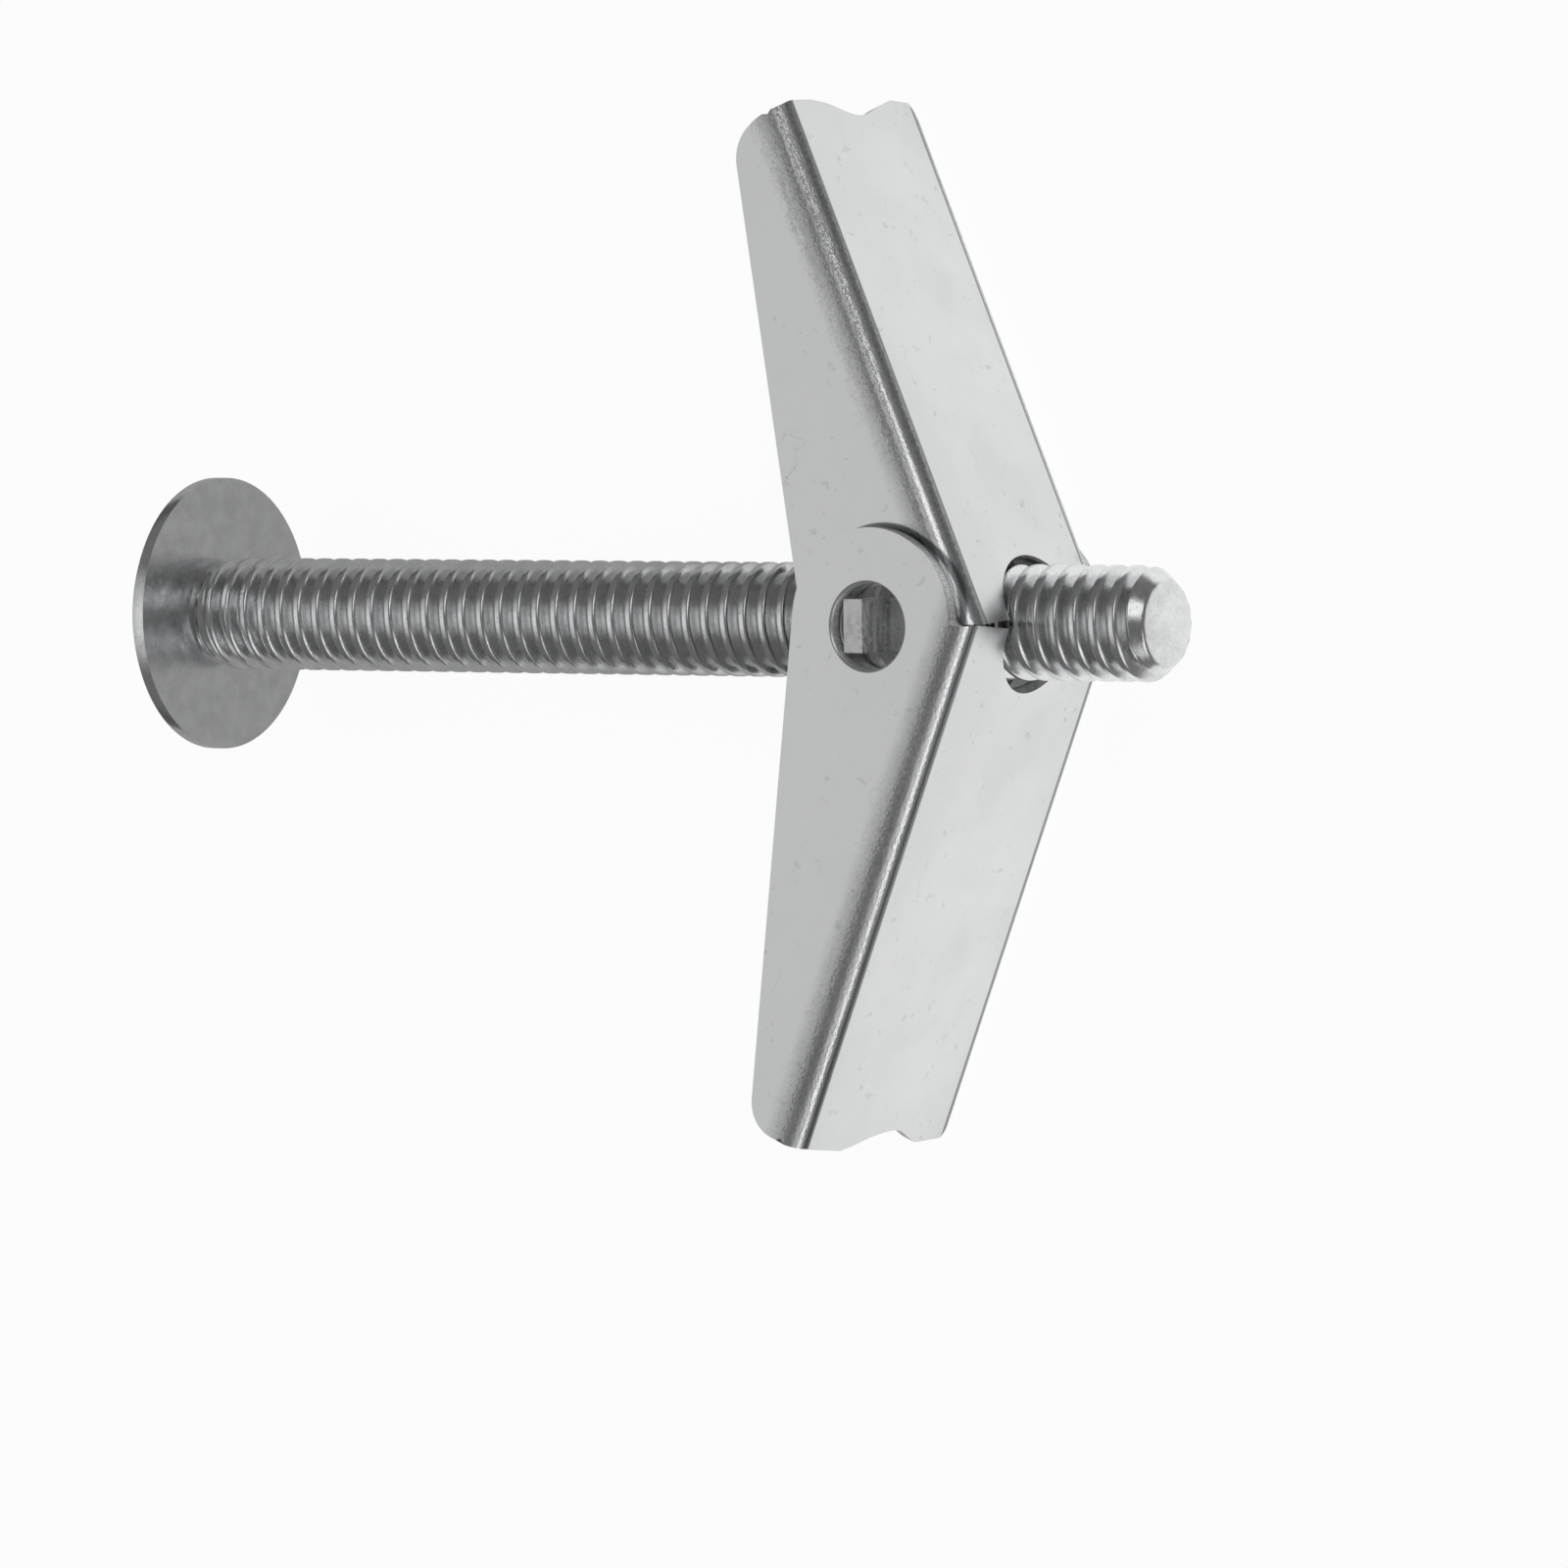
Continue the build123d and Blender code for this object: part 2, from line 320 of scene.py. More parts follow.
# %% Shapes grown by Geometry Nodes
class Shape(Tree):
    """A Geometry Nodes tree with a named input for each size, after the mesh that it starts from."""

    def __init__(self, name, sizes):
        group = bpy.data.node_groups.new(name, "GeometryNodeTree")
        super().__init__(group)
        face = group.interface
        face.new_socket("Geometry", in_out="OUTPUT", socket_type="NodeSocketGeometry")
        face.new_socket("Start", in_out="INPUT", socket_type="NodeSocketGeometry")
        self.sizes, self.inputs = sizes, {}
        for label, value in sizes.items():
            kind = "NodeSocketInt" if isinstance(value, int) else "NodeSocketFloat"
            socket = face.new_socket(label, in_out="INPUT", socket_type=kind)
            socket.default_value = value
            self.inputs[label] = socket.identifier
        first = group.nodes.new("NodeGroupInput")
        self.end = group.nodes.new("NodeGroupOutput")
        self.start = first.outputs["Start"]
        self.size = {label: Num(self, first.outputs[label]) for label in sizes}

    def close(self, geometry, finish):
        """Realizes the instances, sets the finish and closes the tree."""
        real = self.add("GeometryNodeRealizeInstances", i0=geometry)
        dressed = self.add("GeometryNodeSetMaterial", i0=real.outputs[0], Material=finish)
        self.feed(self.end.inputs[0], dressed.outputs[0])

    def grow(self, name, start=None, changed=None):
        """Runs the tree on a starting mesh, or on an empty one, and keeps the result as a mesh."""
        piece = new_object(name, start or bpy.data.meshes.new(name))
        step = piece.modifiers.new("shape", "NODES")
        step.node_group = self.tree
        for label, value in {**self.sizes, **(changed or {})}.items():
            step[self.inputs[label]] = value
        bake_modifiers(piece)
        print(name, "faces:", len(piece.data.polygons))
        return piece


# %% [markdown]
# ## Tools for a finish
# Bright zinc plate is a thin metal coat, so its look is nearly all reflection: a pale grey metal with
# fine changes in colour, roughness and height. Each material below reads the place on the piece in
# millimetres, builds masks from noise and from that place, and lays greys over one another.


# %% Finish tools
class Finish(Tree):
    """A material's tree with one Principled shader, a full metal unless something is fed to it."""

    def __init__(self, name):
        self.material = bpy.data.materials.new(name)
        self.material.use_nodes = True
        super().__init__(self.material.node_tree)
        self.shader = self.tree.nodes["Principled BSDF"].inputs
        self.shader["Metallic"].default_value = 1.0

    def place(self, origin=(0, 0, 0), turn=0.0, flip=1.0):
        """The place on the piece in millimetres, from an origin and in directions turned about Z."""
        spot = self.add("ShaderNodeTexCoord").outputs["Object"]
        return self.add("ShaderNodeMapping", {"vector_type": "TEXTURE"}, Vector=spot,
                        Location=origin, Rotation=(0, 0, math.radians(turn)),
                        Scale=(MM, flip * MM, MM)).outputs[0]

    def stretched(self, vector, factors):
        """The place multiplied axis by axis: a noise on it is drawn out where the factor is small."""
        return self.add("ShaderNodeVectorMath", {"operation": "MULTIPLY"}, i0=vector,
                        i1=factors).outputs[0]

    def noise(self, vector, scale, detail=2.0, distortion=0.0):
        """Soft noise round one half, with about scale lumps to the millimetre."""
        node = self.add("ShaderNodeTexNoise", Vector=vector, Scale=scale, Detail=detail,
                        Distortion=distortion)
        return Num(self, node.outputs["Fac"])

    def tint(self, share, low, high):
        """A colour between two greys or colours."""
        mix = self.add("ShaderNodeMix", {"data_type": "RGBA"}, i0=share)
        sides = {socket.identifier: socket for socket in mix.inputs}
        for side, colour in (("A_Color", low), ("B_Color", high)):
            made = isinstance(colour, bpy.types.NodeSocket)
            self.feed(sides[side], colour if made else (*colour, 1.0))
        return next(out for out in mix.outputs if out.identifier == "Result_Color")

    def scratches(self, vector, scale, width, cover):
        """Thin wandering lines in patches: a noise crosses its middle where another is high."""
        line = (self.noise(vector, scale, 1.0, 0.6) - 0.5).abs().ramp(0.0, width, 1.0, 0.0)
        return line * self.noise(vector, scale * 0.45, 1.0).ramp(cover, cover + 0.06)

    def close(self, colour, roughness, height):
        """Feeds the shader. height is in millimetres."""
        self.feed(self.shader["Base Color"], colour)
        self.feed(self.shader["Roughness"], roughness)
        bump = self.add("ShaderNodeBump", Strength=1.0, Distance=MM, Height=height)
        self.feed(self.shader["Normal"], bump.outputs[0])
        return self.material


def grey(value, cool=0.005):
    """A grey that is a touch cool, as zinc is."""
    return (value - cool, value, value + cool)


# %% [markdown]
# ## Zinc on sheet steel
# Along each bend of a wing the colour holds painted light and shade: a grainy painted shade near the
# ear, a bright line that is a painted highlight, smoother than the sheet round it, and a strip of
# painted dark reflection beside the web. The line frays towards the inner wing's tip. The cut edges
# are pale and streaked across the sheet, the channel's inside is darker and rougher, and on the inner
# wing's ear a painted shade darkens the gap just outside the outer wing's ear. All of these follow the
# place on the sheet, worked out in the wing's own directions, so masks by rule fit better than a
# painted picture would.


# %% Where a point is on a wing
def wing_places(f, wing):
    """The place in the wing's own directions, the bend's angle in degrees and the depth in the sheet.
    The angle is 0 where the ear starts and 90 where the web starts, and falls below 0 on the ear."""
    spot = f.place(tuple(PIVOT), wing["turn"], wing["flip"])
    up, along, across = f.parts(spot)
    rise = (up - BEND_START).most(0.0)
    side = (across.abs() - (wing["width"] / 2 - BEND_OUTSIDE)).most(0.0)
    on_ear = (BEND_START - up).most(0.0) * (side > 0.01)
    bend = rise.angle_from(side) * (180 / math.pi) - on_ear * 20.0
    depth = BEND_OUTSIDE - (rise * rise + side * side) ** 0.5
    return spot, up, along, bend, depth


# %% Painted light and shade along the bend
def painted_bend_masks(f, spot, along, bend, peel, painted_bend):
    """Masks for the grainy painted shade, the painted highlight line and the strip of painted dark
    reflection, and how loose the line is.
    line is where the line starts and ends, strip where the strip starts, frayed how loose it gets."""
    (start, end), strip = painted_bend["line"], painted_bend["strip"]
    blob = f.noise(f.stretched(spot, (3.5, 1.8, 3.5)), 1.0, 2.0).ramp(0.38, 0.56)
    wander = (f.noise(f.stretched(spot, (2.5, 0.7, 2.5)), 1.0, 4.0) - 0.5) * 2.0
    loose = along.ramp(6, 18, 0.0, painted_bend["frayed"])
    shaken = bend + wander * (3.0 + loose * 9.0) + (peel - 0.5) * (12.0 + loose * 14.0)
    # Painted shade on the ear's side of the bend
    painted_shade = shaken.ramp(-22, 12, smooth=True) * shaken.ramp(22, start - 2, 1.0, 0.35, smooth=True)
    painted_shade = painted_shade * shaken.ramp(strip - 4, strip + 4, 1.0, 0.0)
    # Painted highlight: the bright line round the bend
    painted_highlight = shaken.ramp(start, start + 4) * shaken.ramp(end - 4, end + 2, 1.0, 0.0)
    painted_highlight = painted_highlight * (1.0 - loose * 0.5 * (1.0 - blob))
    # Painted dark reflection: the strip beside the web
    painted_dark_strip = (bend + (peel - 0.5) * 10.0).ramp(strip, strip + 6) * bend.ramp(86, 89.5, 1.0, 0.0)
    return painted_shade, painted_highlight, painted_dark_strip, loose


# %% Painted shade in the gap beside the outer wing's ear
GAP_SHADE_AT, GAP_SHADE_RADIUS = (0.28, 0.14), 5.1


def ear_gap_shade(up, along):
    """Painted shade in the gap: a thin dark ring just outside the other ear's round, wider and darker
    towards the web.
    """
    away = ((up - GAP_SHADE_AT[0]) ** 2.0 + (along - GAP_SHADE_AT[1]) ** 2.0) ** 0.5 - GAP_SHADE_RADIUS
    width = up.ramp(0.5, 4.0, 0.09, 0.36)
    ring = away.ramp(-0.05, 0.02) * (away / width).ramp(0.75, 1.1, 1.0, 0.0)
    return ring * up.ramp(-4.2, 2.5, 0.25, 1.0)


# %% Sheet finish
def sheet_finish(name, wing, painted_bend):
    """Zinc on a wing, with painted light and shade along its bend. dark is the angle from which the
    painted dark strip is darkest, and the last key sets how dark the painted shade in the gap beside
    the other wing's ear is."""
    f = Finish(name)
    spot, up, along, bend, depth = wing_places(f, wing)
    peel = f.noise(f.stretched(spot, (7.0, 5.0, 7.0)), 1.0, 3.0)
    painted_shade, painted_highlight, painted_dark_strip, loose = painted_bend_masks(f, spot, along, bend, peel, painted_bend)
    cut = depth.ramp(0.06, 0.14) * depth.ramp(0.66, 0.74, 1.0, 0.0)
    inside = depth.ramp(0.72, 0.79)
    cloud = f.noise(spot, 0.22, 3.0)
    grain = f.noise(f.stretched(spot, (9.0, 1.2, 9.0)), 1.0, 3.0)
    streak = f.noise(f.stretched(spot, (14.0, 14.0, 1.5)), 1.0, 2.0)
    marks = f.scratches(spot, 0.33, 0.006, 0.60)
    smudge = f.noise(spot, 1.5, 4.0, 0.5).ramp(0.645, 0.72)
    # Tones of the painted dark reflection in the strip beside the web
    painted_strip_grey = f.tint(peel.ramp(0.4, 0.6), grey(0.40), grey(0.62))
    painted_strip_grey = f.tint(bend.ramp(painted_bend["dark"] - 4, painted_bend["dark"] + 3), painted_strip_grey, grey(0.20))
    cut_grey = f.tint(streak.ramp(0.35, 0.60), grey(0.62), grey(0.98))
    # Layers: smudges, the darker inside, scratches, the painted shade, painted dark strip and painted
    # highlight along the bend, and the pale cut edges
    layers = [(smudge * 0.35, grey(0.42)), (inside * 0.6, grey(0.32)), (marks * 0.30, grey(0.40)),
              (painted_shade * peel.ramp(0.35, 0.65, 0.55, 0.05), grey(0.40)), (painted_dark_strip * 0.9, painted_strip_grey),
              (painted_highlight * 0.85, grey(0.96)), (cut * 0.9, cut_grey)]
    # Painted shade in the gap beside the other wing's ear
    if painted_bend["gap_shade"]:
        layers.append((ear_gap_shade(up, along) * painted_bend["gap_shade"], grey(0.10)))
    colour = f.tint(cloud.ramp(0.35, 0.65), grey(0.70), grey(0.77))
    for cover, tone in layers:
        colour = f.tint(cover, colour, tone)
    roughness = cloud.ramp(0.3, 0.7, 0.27, 0.34) + painted_shade * 0.10 - painted_highlight * 0.07
    roughness = roughness + cut * 0.12 + inside * 0.15
    relief = painted_shade * 0.05 + painted_highlight * (loose * 0.05 + 0.008) + painted_dark_strip * 0.01 + 0.0006
    height = grain * 0.0012 + peel * relief + streak * cut * 0.02 - marks * 0.002
    f.feed(f.shader["Metallic"], 1.0 - cut * 0.6)
    return f.close(colour, roughness, height)


# Per wing, in degrees round the bend: where the painted highlight line starts and ends, where the
# painted dark strip starts and where it is darkest; then how loose the highlight gets and how dark the
# painted shade in the ear's gap is
INNER_PAINTED_BEND = {"line": (35, 50), "strip": 56, "dark": 80, "frayed": 1.0, "gap_shade": 0.9}
OUTER_PAINTED_BEND = {"line": (50, 67), "strip": 66, "dark": 70, "frayed": 0.15, "gap_shade": 0.0}
finish = {"inner": sheet_finish("inner_wing_zinc_finish", WING["inner"], INNER_PAINTED_BEND),
          "outer": sheet_finish("outer_wing_zinc_finish", WING["outer"], OUTER_PAINTED_BEND)}
print("sheet finishes, nodes:", {key: len(made.node_tree.nodes) for key, made in finish.items()})


# %% [markdown]
# ## Zinc on the screw, the nut and the wire
# The screw is plated by tumbling in a barrel with the bath, which leaves a bright coat with clouds
# and small pits. The nut is drawn strip: it has pale streaks and grit, its coat is lumpier, and a dull
# bloom makes it less of a mirror. The wire is darker, because its coat is thin. One function makes
# all three, since they differ only in numbers.


# %% Finishes of the screw, the nut and the wire
def barrel_finish(name, low, high, rough, lumps, drawn=False):
    """Barrel plated zinc between two greys. lumps is their height in millimetres, and drawn adds the
    streaks, the grit and the bloom of drawn strip."""
    f = Finish(name)
    spot = f.place()
    cloud = f.noise(spot, 0.9, 3.0)
    lump = f.noise(spot, 3.2, 2.0)
    pits = f.noise(spot, 8.0, 1.0).ramp(0.66, 0.74)
    colour = f.tint(cloud.ramp(0.35, 0.65), grey(low), grey(high))
    colour = f.tint(pits * 0.5, colour, grey(low * 0.55))
    if drawn:
        streak = f.noise(f.stretched(spot, (0.8, 0.3, 2.2)), 1.0, 3.0).ramp(0.46, 0.58)
        grit = f.noise(spot, 2.6, 1.0).ramp(0.54, 0.62)
        colour = f.tint(streak.most(grit), colour, grey(0.99))
        f.feed(f.shader["Metallic"], streak.most(grit).ramp(0.0, 1.0, 0.50, 0.15))
    roughness = lump.ramp(0.3, 0.7, rough - 0.05, rough + 0.07)
    return f.close(colour, roughness, lump * lumps - pits * 0.004)


finish["screw"] = barrel_finish("screw_zinc_finish", 0.70, 0.80, 0.20, 0.006)
finish["nut"] = barrel_finish("nut_zinc_finish", 0.58, 0.76, 0.30, 0.03, drawn=True)
finish["wire"] = barrel_finish("spring_wire_finish", 0.56, 0.66, 0.26, 0.01)
for piece, key in ((inner_wing, "inner"), (outer_wing, "outer"), (nut, "nut")):
    piece.data.materials.append(finish[key])
print("finishes:", sorted(finish))

# %% [markdown]
# ## The thread
# A rolled thread is one helical ridge. Its shape follows a rule: at any point of the shank, the
# radius depends only on how far the point is, along the screw, from the ridge. So a Geometry Nodes
# tree takes a plain grid, lays its columns round the axis and its rows along it, shifts each column a
# little further so that the rows follow the helix, and sets the radius from the row's place in the
# pitch. The rows start two turns early, so that the helix covers the whole shank. Rows past an end
# are held at the end's plane and drawn in to the axis, which closes the solid. A cone takes the
# ridge down at the tip, as the lead in chamfer does on the real screw.

# %% Sizes of the thread
THREAD = {"Length": 63.5 * MM, "Crest radius": 3.15 * MM, "Pitch": 1.27 * MM, "Depth": 0.76 * MM,
          "Tip radius": 2.36 * MM, "Lead in": 1.0 * MM, "Neck": 1.0 * MM, "Steps round": 64,
          "Rows per pitch": 16, "Turns": 53}
EARLY_TURNS, WHOLE_TURNS = 2.0, 100.0
CREST_END, ROOT_START = 0.26, 0.94
THREAD_MERGE = 2e-6
print("threads to the inch:", round(0.0254 / THREAD["Pitch"], 2))

# %% Thread tree
shape = Shape("rolled_thread", THREAD)
size = shape.size
grid = shape.add("GeometryNodeMeshGrid", Size_X=1.0, Size_Y=1.0,
                 Vertices_X=size["Steps round"] + 1,
                 Vertices_Y=size["Rows per pitch"] * size["Turns"] + 1)
column, row, _ = shape.parts(shape.add("GeometryNodeInputPosition").outputs[0])
turn_share, row_share = column + 0.5, row + 0.5
angle = turn_share * (2 * math.pi)
along = (row_share * size["Turns"] - EARLY_TURNS + turn_share) * size["Pitch"]
held = along.most(0.0).least(size["Length"])
from_ridge = ((row_share * size["Turns"] + WHOLE_TURNS).fraction() - 0.5).abs() * 2.0
drop = size["Depth"] * from_ridge.ramp(CREST_END, ROOT_START, smooth=True)
grown_out = held.ramp(0.0, size["Neck"], 0.0, 1.0)
half_depth = size["Depth"] * 0.5
radius = size["Crest radius"] - half_depth + (half_depth - drop) * grown_out
to_tip = (size["Length"] - held) / size["Lead in"]
cone = size["Tip radius"] + to_tip * (size["Crest radius"] - size["Tip radius"])
past_tip = (along - size["Length"]) / size["Pitch"]
before_head = (0.0 - along) / size["Pitch"]
radius = radius.least(cone) * (1.0 - past_tip.most(before_head).most(0.0).least(1.0))
spot = shape.add("ShaderNodeCombineXYZ", X=held, Y=radius * angle.cos(), Z=radius * angle.sin())
placed = shape.add("GeometryNodeSetPosition", Geometry=grid.outputs[0], Position=spot.outputs[0])
closed = shape.add("GeometryNodeMergeByDistance", Geometry=placed.outputs[0],
                   Distance=THREAD_MERGE)
shape.close(closed.outputs[0], finish["screw"])
thread = shape.grow("rolled_thread")
smooth_by_angle(outward(thread), 50)

# %% [markdown]
# ## The screw's head
# The head is round about the axis, so its outline is spun in bmesh, from under the head out to the
# rim and over the dome. A driver's slot is a straight cut, for which a Boolean with a box is the
# plain tool, and a narrow bevel then breaks the edges as tumbling does.

# %% Sizes and tools for the head
HEAD_RADIUS, HEAD_HEIGHT, HEAD_RIM = 7.65 * MM, 3.6 * MM, 0.7 * MM
SLOT_WIDTH, SLOT_DEPTH = 1.7 * MM, 2.0 * MM
HEAD_EDGE, HEAD_SHARP, HEAD_STEPS, DOME_STEPS = 0.14, 35, 96, 14


def dome_outline():
    """The dome as an arc of (x, radius) points, from the rim to the crown."""
    rise = HEAD_HEIGHT - HEAD_RIM
    dome = (HEAD_RADIUS ** 2 + rise ** 2) / (2 * rise)
    open_angle = math.asin(HEAD_RADIUS / dome)
    angles = [open_angle * k / DOME_STEPS for k in range(DOME_STEPS, -1, -1)]
    return [(dome - HEAD_HEIGHT - dome * math.cos(a), dome * math.sin(a)) for a in angles]


def spun(name, outline, steps):
    """A closed solid from an outline of (x, radius) points that starts and ends on the axis."""
    work = bmesh.new()
    points = [work.verts.new((x, radius, 0)) for x, radius in outline]
    lines = [work.edges.new(pair) for pair in zip(points, points[1:])]
    bmesh.ops.spin(work, geom=points + lines, cent=(0, 0, 0), axis=(1, 0, 0), angle=2 * math.pi,
                   steps=steps, use_duplicate=False)
    bmesh.ops.remove_doubles(work, verts=work.verts, dist=MERGE_DISTANCE)
    bmesh.ops.recalc_face_normals(work, faces=work.faces)
    mesh = bpy.data.meshes.new(name)
    work.to_mesh(mesh)
    work.free()
    return new_object(name, mesh)


def slot_cutter(width, depth, top, reach):
    """A box as wide as the slot and longer than the head, down to the slot's floor."""
    corners = [(x, y, z) for x in (top - depth, top + depth) for y in (-width / 2, width / 2)
               for z in (-reach, reach)]
    faces = [(0, 1, 3, 2), (4, 6, 7, 5), (0, 4, 5, 1), (2, 3, 7, 6), (0, 2, 6, 4), (1, 5, 7, 3)]
    mesh = bpy.data.meshes.new("slot_cutter")
    mesh.from_pydata(corners, [], faces)
    return new_object("slot_cutter", mesh)


# %% Slotted dome head
head = spun("slotted_head", [(0, 0), (0, HEAD_RADIUS)] + dome_outline(), HEAD_STEPS)
cutter = slot_cutter(SLOT_WIDTH, SLOT_DEPTH, -HEAD_HEIGHT, 2 * HEAD_RADIUS)
cut = head.modifiers.new("slot", "BOOLEAN")
cut.object, cut.operation, cut.solver = cutter, "DIFFERENCE", "EXACT"
soften_edges(head, HEAD_EDGE, HEAD_SHARP)
bpy.data.objects.remove(cutter)
head.data.materials.clear()
head.data.materials.append(finish["screw"])

# %% [markdown]
# ## The spring
# One wire makes the whole spring: a bridge across the inner wing's web, a leg down to a coil round
# each arm of the nut, and a free leg against the outer wing's web. On the real part the wire bends as
# the wings fold. Here it is three pieces, one for each body that moves. Each leg keeps an arc of the
# coil behind it, which lies inside the coil's own wire at rest and closes the gap when the leg
# swings. The paths are laid out by rule, and a Geometry Nodes tree rounds their corners and gives
# them their wire.

# %% Wire tree
WIRE = 0.3
WIRE_SIZES = {"Wire radius": WIRE * MM, "Steps round": 16, "Steps in a bend": 6}
wire = Shape("round_wire", WIRE_SIZES)
line = wire.add("GeometryNodeMeshToCurve", Mesh=wire.start)
bend_size = wire.add("GeometryNodeInputNamedAttribute", {"data_type": "FLOAT"}, Name="bend")
rounded = wire.add("GeometryNodeFilletCurve", {"mode": "POLY"}, Curve=line.outputs[0],
                   Limit_Radius=False, Radius=bend_size.outputs[0],
                   Count=wire.size["Steps in a bend"])
ring = wire.add("GeometryNodeCurvePrimitiveCircle", Resolution=wire.size["Steps round"],
                Radius=wire.size["Wire radius"])
tube = wire.add("GeometryNodeCurveToMesh", Curve=rounded.outputs[0],
                Profile_Curve=ring.outputs[0], Fill_Caps=True)
wire.close(tube.outputs[0], finish["wire"])
print("wire tree inputs:", list(wire.inputs))

# %% The spring's path, in millimetres from the pivot
COIL_RADIUS, COIL_LOW, COIL_HIGH = 2.75, 5.04, 5.66
FOOT, LEG_BEND, LEG_REACH, LEG_GAP = 1.6, 1.0, 11.0, 0.06


def leg_line(turn, side):
    """The angle at which a leg leaves its coil, and where it ends, for a web turned by turn."""
    reach = WEB_HEIGHT - SHEET - WIRE - LEG_GAP
    end = Matrix.Rotation(math.radians(turn), 3, "Z") @ Vector((reach, side * LEG_REACH, 0))
    angle = math.atan2(end.y, end.x) - side * math.acos(COIL_RADIUS / end.length)
    return math.degrees(angle), end


inner_angle, inner_end = leg_line(WING["inner"]["turn"], 1)
outer_angle, outer_end = leg_line(WING["outer"]["turn"], -1)
SWEEP = 360 + inner_angle - outer_angle
WRAP = 76 / SWEEP
print("each coil turns through", round(SWEEP), "degrees")


def on_coil(part):
    """A point on the coil, from 0 at the bridged leg to 1 at the free leg."""
    turn = math.radians(inner_angle - SWEEP * part)
    rise = (1 - math.cos(math.pi * part)) / 2
    return Vector((COIL_RADIUS * math.cos(turn), COIL_RADIUS * math.sin(turn),
                   COIL_LOW + (COIL_HIGH - COIL_LOW) * rise))


def coil_run(start, end, steps):
    """Points along part of the coil, with no bends to round."""
    return [(on_coil(start + (end - start) * k / steps), 0.0) for k in range(steps + 1)]


def at_height(point, z):
    return Vector((point.x, point.y, z))


def below(run):
    """The same run on the other side of the screw."""
    return [(at_height(p, -p.z), bend) for p, bend in run]


# %% The spring's three pieces
def wire_piece(name, runs, radius):
    """Wire along one or more runs. A run is a list of points with the radius of their bends."""
    points, edges, bends = [], [], []
    for run in runs:
        first = len(points)
        points += [PIVOT + p * MM for p, bend in run]
        bends += [bend * MM for p, bend in run]
        edges += [(k, k + 1) for k in range(first, len(points) - 1)]
    mesh = bpy.data.meshes.new(name)
    mesh.from_pydata(points, edges, [])
    mesh.attributes.new("bend", "FLOAT", "POINT").data.foreach_set("value", bends)
    piece = wire.grow(name, mesh, {"Wire radius": radius * MM})
    return smooth_by_angle(outward(piece), 50)


COIL_STEPS, WRAP_STEPS, COIL_SLACK = 72, 14, 0.01
leg = [(at_height(inner_end, COIL_LOW), LEG_BEND)] + coil_run(0, WRAP, WRAP_STEPS)
free = coil_run(1 - WRAP, 1, WRAP_STEPS) + [(at_height(outer_end, COIL_HIGH), LEG_BEND),
                                            (at_height(outer_end, COIL_HIGH - FOOT), 0.0)]
turns = coil_run(0, 1, COIL_STEPS)
spring_coils = wire_piece("spring_coils", [turns, below(turns)], WIRE - COIL_SLACK)
spring_bridge = wire_piece("spring_bridged_legs", [below(leg)[::-1] + leg], WIRE)
spring_free = wire_piece("spring_free_legs", [free, below(free)], WIRE)

# %% [markdown]
# ## Who rides on what
# Each finished mesh stands for the CAD node that it was made from, and moves with that node's body.
# The spring's three pieces share one node, because the wire is one piece of steel.

# %% Fit the pieces to the frame
for piece, body, node, slot in ((inner_wing, "inner_wing", "inner_wing", "inner_wing_zinc"),
                                (outer_wing, "outer_wing", "outer_wing", "outer_wing_zinc"),
                                (nut, "nut", "trunnion_nut", "nut_zinc"),
                                (thread, "screw", "machine_screw", "screw_zinc"),
                                (head, "screw", "machine_screw", "screw_zinc"),
                                (spring_coils, "nut", "wing_spring", "spring_wire"),
                                (spring_bridge, "inner_wing", "wing_spring", "spring_wire"),
                                (spring_free, "outer_wing", "wing_spring", "spring_wire")):
    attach(piece, body)
    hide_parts(node)
    triangles = sum(len(face.vertices) - 2 for face in piece.data.polygons)
    print(piece.name, "rides on", body, "triangles:", triangles)

# %% [markdown]
# ## The floor
# The part lies on white paper. The paper gives back light, and for the camera and for mirrored rays
# most of its brightness is fixed: that keeps it white in the picture, while a soft shadow stays. In a
# mirror it shows a painted pool of light, brightest under the wings and past the screw's tip and dark
# further out, made to look like paper under a small soft box; it gives the webs their pale sheen and
# the screw its dark sides.


# %% Paper floor
def shown_rays(tree):
    """1 for rays from the camera or through glass, and 1 for mirrored rays."""
    ray = tree.add("ShaderNodeLightPath")
    camera, glass, mirrored = (Num(tree, ray.outputs[kind]) for kind in (
        "Is Camera Ray", "Is Transmission Ray", "Is Glossy Ray"))
    return camera.most(glass), mirrored


FLOOR_Z, FLOOR_REACH = -7.75 * MM, 3.0
PAPER, PAPER_GLOW, GLOW_SHARE = 0.82, 1.07, 0.88
POOL_X, POOL_RADIUS, POOL_EDGE = 17.0, 52.0, 6.0
corners = [(x * FLOOR_REACH, y * FLOOR_REACH, FLOOR_Z)
           for x, y in ((-1, -1), (1, -1), (1, 1), (-1, 1))]
floor_mesh = bpy.data.meshes.new("paper_floor")
floor_mesh.from_pydata(corners, [], [(0, 1, 2, 3)])
floor = new_object("paper_floor", floor_mesh)
paper = bpy.data.materials.new("paper_white")
paper.use_nodes = True
nodes = paper.node_tree.nodes
nodes.remove(nodes["Principled BSDF"])
p = Tree(paper.node_tree)
seen, mirrored = shown_rays(p)
x, y, _ = p.parts(p.add("ShaderNodeTexCoord").outputs["Object"])
ahead, aside = x / MM, y / MM
away = ((ahead - POOL_X) ** 2.0 + aside ** 2.0) ** 0.5
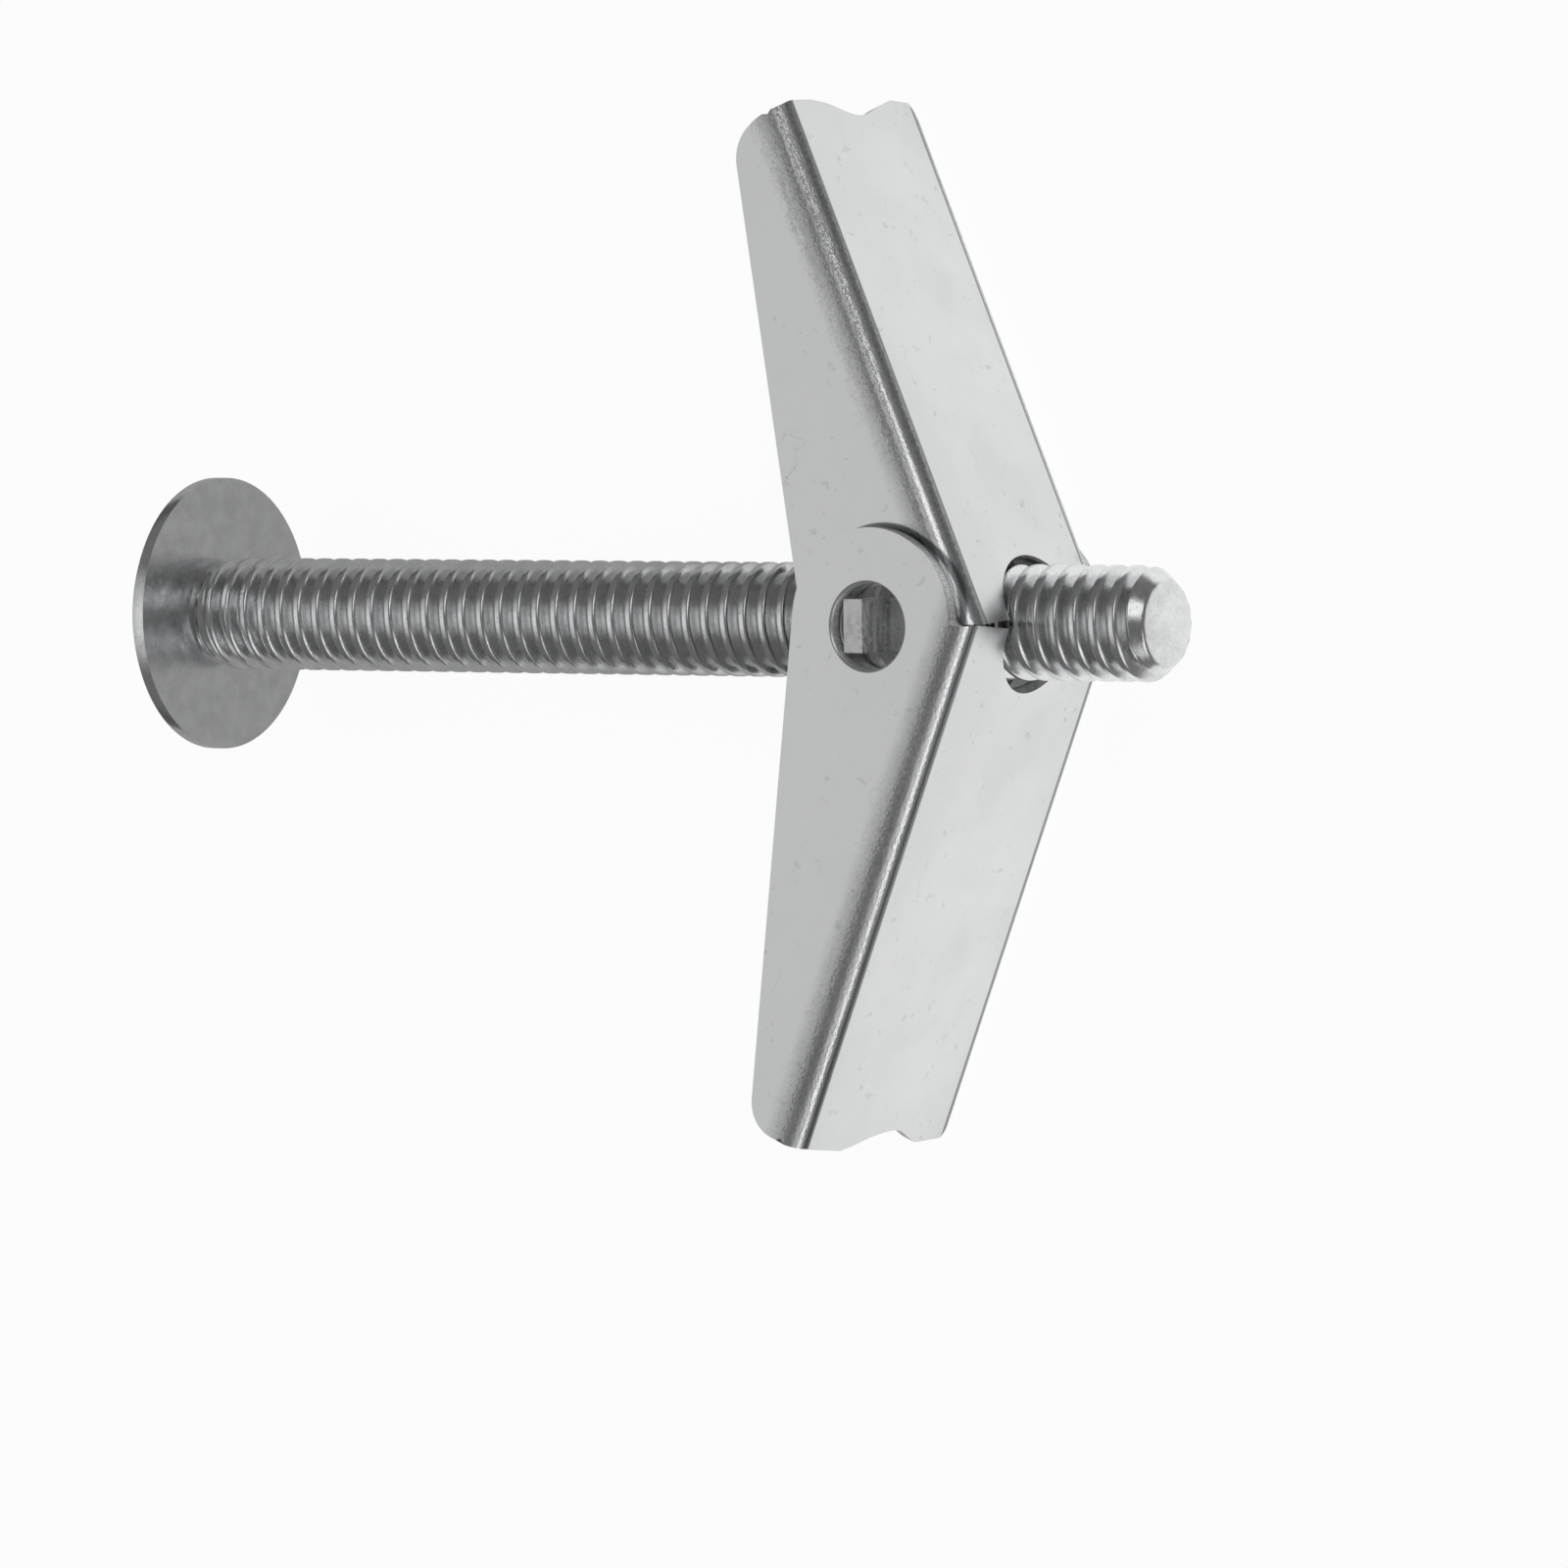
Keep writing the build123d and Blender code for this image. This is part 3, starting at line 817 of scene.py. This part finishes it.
# Painted pool of light, seen only in mirrored rays: bright near the wings and past the tip, dark
# further out
painted_pool = ahead.ramp(34, 47, 0.36, 1.02) * away.ramp(POOL_RADIUS, POOL_RADIUS + POOL_EDGE, 1.0, 0.16)
level = seen + (1.0 - seen) * painted_pool
tone = p.add("ShaderNodeCombineColor", i0=level, i1=level, i2=level)
matt = p.add("ShaderNodeBsdfDiffuse", Color=(PAPER, PAPER, PAPER, 1))
glow = p.add("ShaderNodeEmission", Color=tone.outputs[0], Strength=PAPER_GLOW)
both = p.add("ShaderNodeMixShader", Fac=seen.most(mirrored) * GLOW_SHARE, i1=matt.outputs[0],
             i2=glow.outputs[0])
p.feed(nodes["Material Output"].inputs["Surface"], both.outputs[0])
floor_mesh.materials.append(paper)
print("floor at", round(FLOOR_Z / MM, 2), "mm")

# %% [markdown]
# ## The studio round it
# Metal only shows what surrounds it, so the world is a small studio: dim grey all round, a broad soft
# glow above and behind the head's side for the ears, and two bright windows on the tip's side, one
# high and one low, for the thread and the bends. The camera itself sees plain white. A soft lamp in
# the broad glow's direction lights the paper and gives the shadow.

# %% World and soft box
DIM = 0.16
LIGHTS = (((-0.572, -0.048, 0.819), 0.80, 0.94, 0.38), ((0.62, 0.47, 0.63), 0.93, 0.985, 1.0),
          ((0.80, -0.60, 0.06), 0.86, 0.97, 1.0))
world = bpy.data.worlds.new("studio")
world.use_nodes = True
bpy.context.scene.world = world
w = Tree(world.node_tree)
towards = w.add("ShaderNodeTexCoord").outputs["Generated"]
sky = DIM
for direction, edge, middle, strength in LIGHTS:
    lean = w.add("ShaderNodeVectorMath", {"operation": "DOT_PRODUCT"}, i0=towards,
                 i1=tuple(Vector(direction).normalized()))
    sky = sky + Num(w, lean.outputs["Value"]).ramp(edge, middle, smooth=True) * strength
seen, mirrored = shown_rays(w)
back = world.node_tree.nodes["Background"].inputs
back["Color"].default_value = (1, 1, 1, 1)
w.feed(back["Strength"], sky + (1.0 - sky) * seen)

lamp_data = bpy.data.lights.new("soft_box", "AREA")
lamp_data.shape, lamp_data.size, lamp_data.energy = "DISK", 0.22, 0.03
lamp = bpy.data.objects.new("soft_box", lamp_data)
bpy.context.scene.collection.objects.link(lamp)
lamp.location = PIVOT + Vector((-0.25, -0.02, 0.358))
lamp.rotation_euler = (PIVOT - lamp.location).to_track_quat("-Z", "Y").to_euler()
print("lights in the world:", len(LIGHTS), "lamp power:", round(lamp_data.energy, 3), "W")

# %% [markdown]
# ## The camera
# The camera was found from the photograph: its pixels on the thread, the holes and the wings' edges
# fix where it stands. It looks down steeply from beyond the screw's tip with a long lens, so lines
# stay nearly parallel.

# %% Camera
RIGHT = Vector((0.82008, -0.01279, -0.57211))
UP = Vector((-0.01704, 0.99876, -0.04676))
TO_CAMERA = Vector((0.57200, 0.04810, 0.81884))
PHOTO_PIXELS, FOCAL_PIXELS, SENSOR = 1600, 12557.912, 36.0
camera_data = bpy.data.cameras.new("photo_camera")
camera_data.sensor_width, camera_data.lens = SENSOR, FOCAL_PIXELS / PHOTO_PIXELS * SENSOR
camera_data.clip_start, camera_data.clip_end = 0.05, 20.0
camera = bpy.data.objects.new("photo_camera", camera_data)
bpy.context.scene.collection.objects.link(camera)
stand = PIVOT + (RIGHT * -8.89 + UP * -8.82 + TO_CAMERA * 667.445) * MM
turned = Matrix((RIGHT, UP, TO_CAMERA)).transposed().to_4x4()
camera.matrix_world = Matrix.Translation(stand) @ turned
bpy.context.scene.camera = camera
bpy.context.scene.view_settings.view_transform = "Standard"
print("lens", round(camera_data.lens, 2), "camera at", [round(c, 4) for c in camera.location])
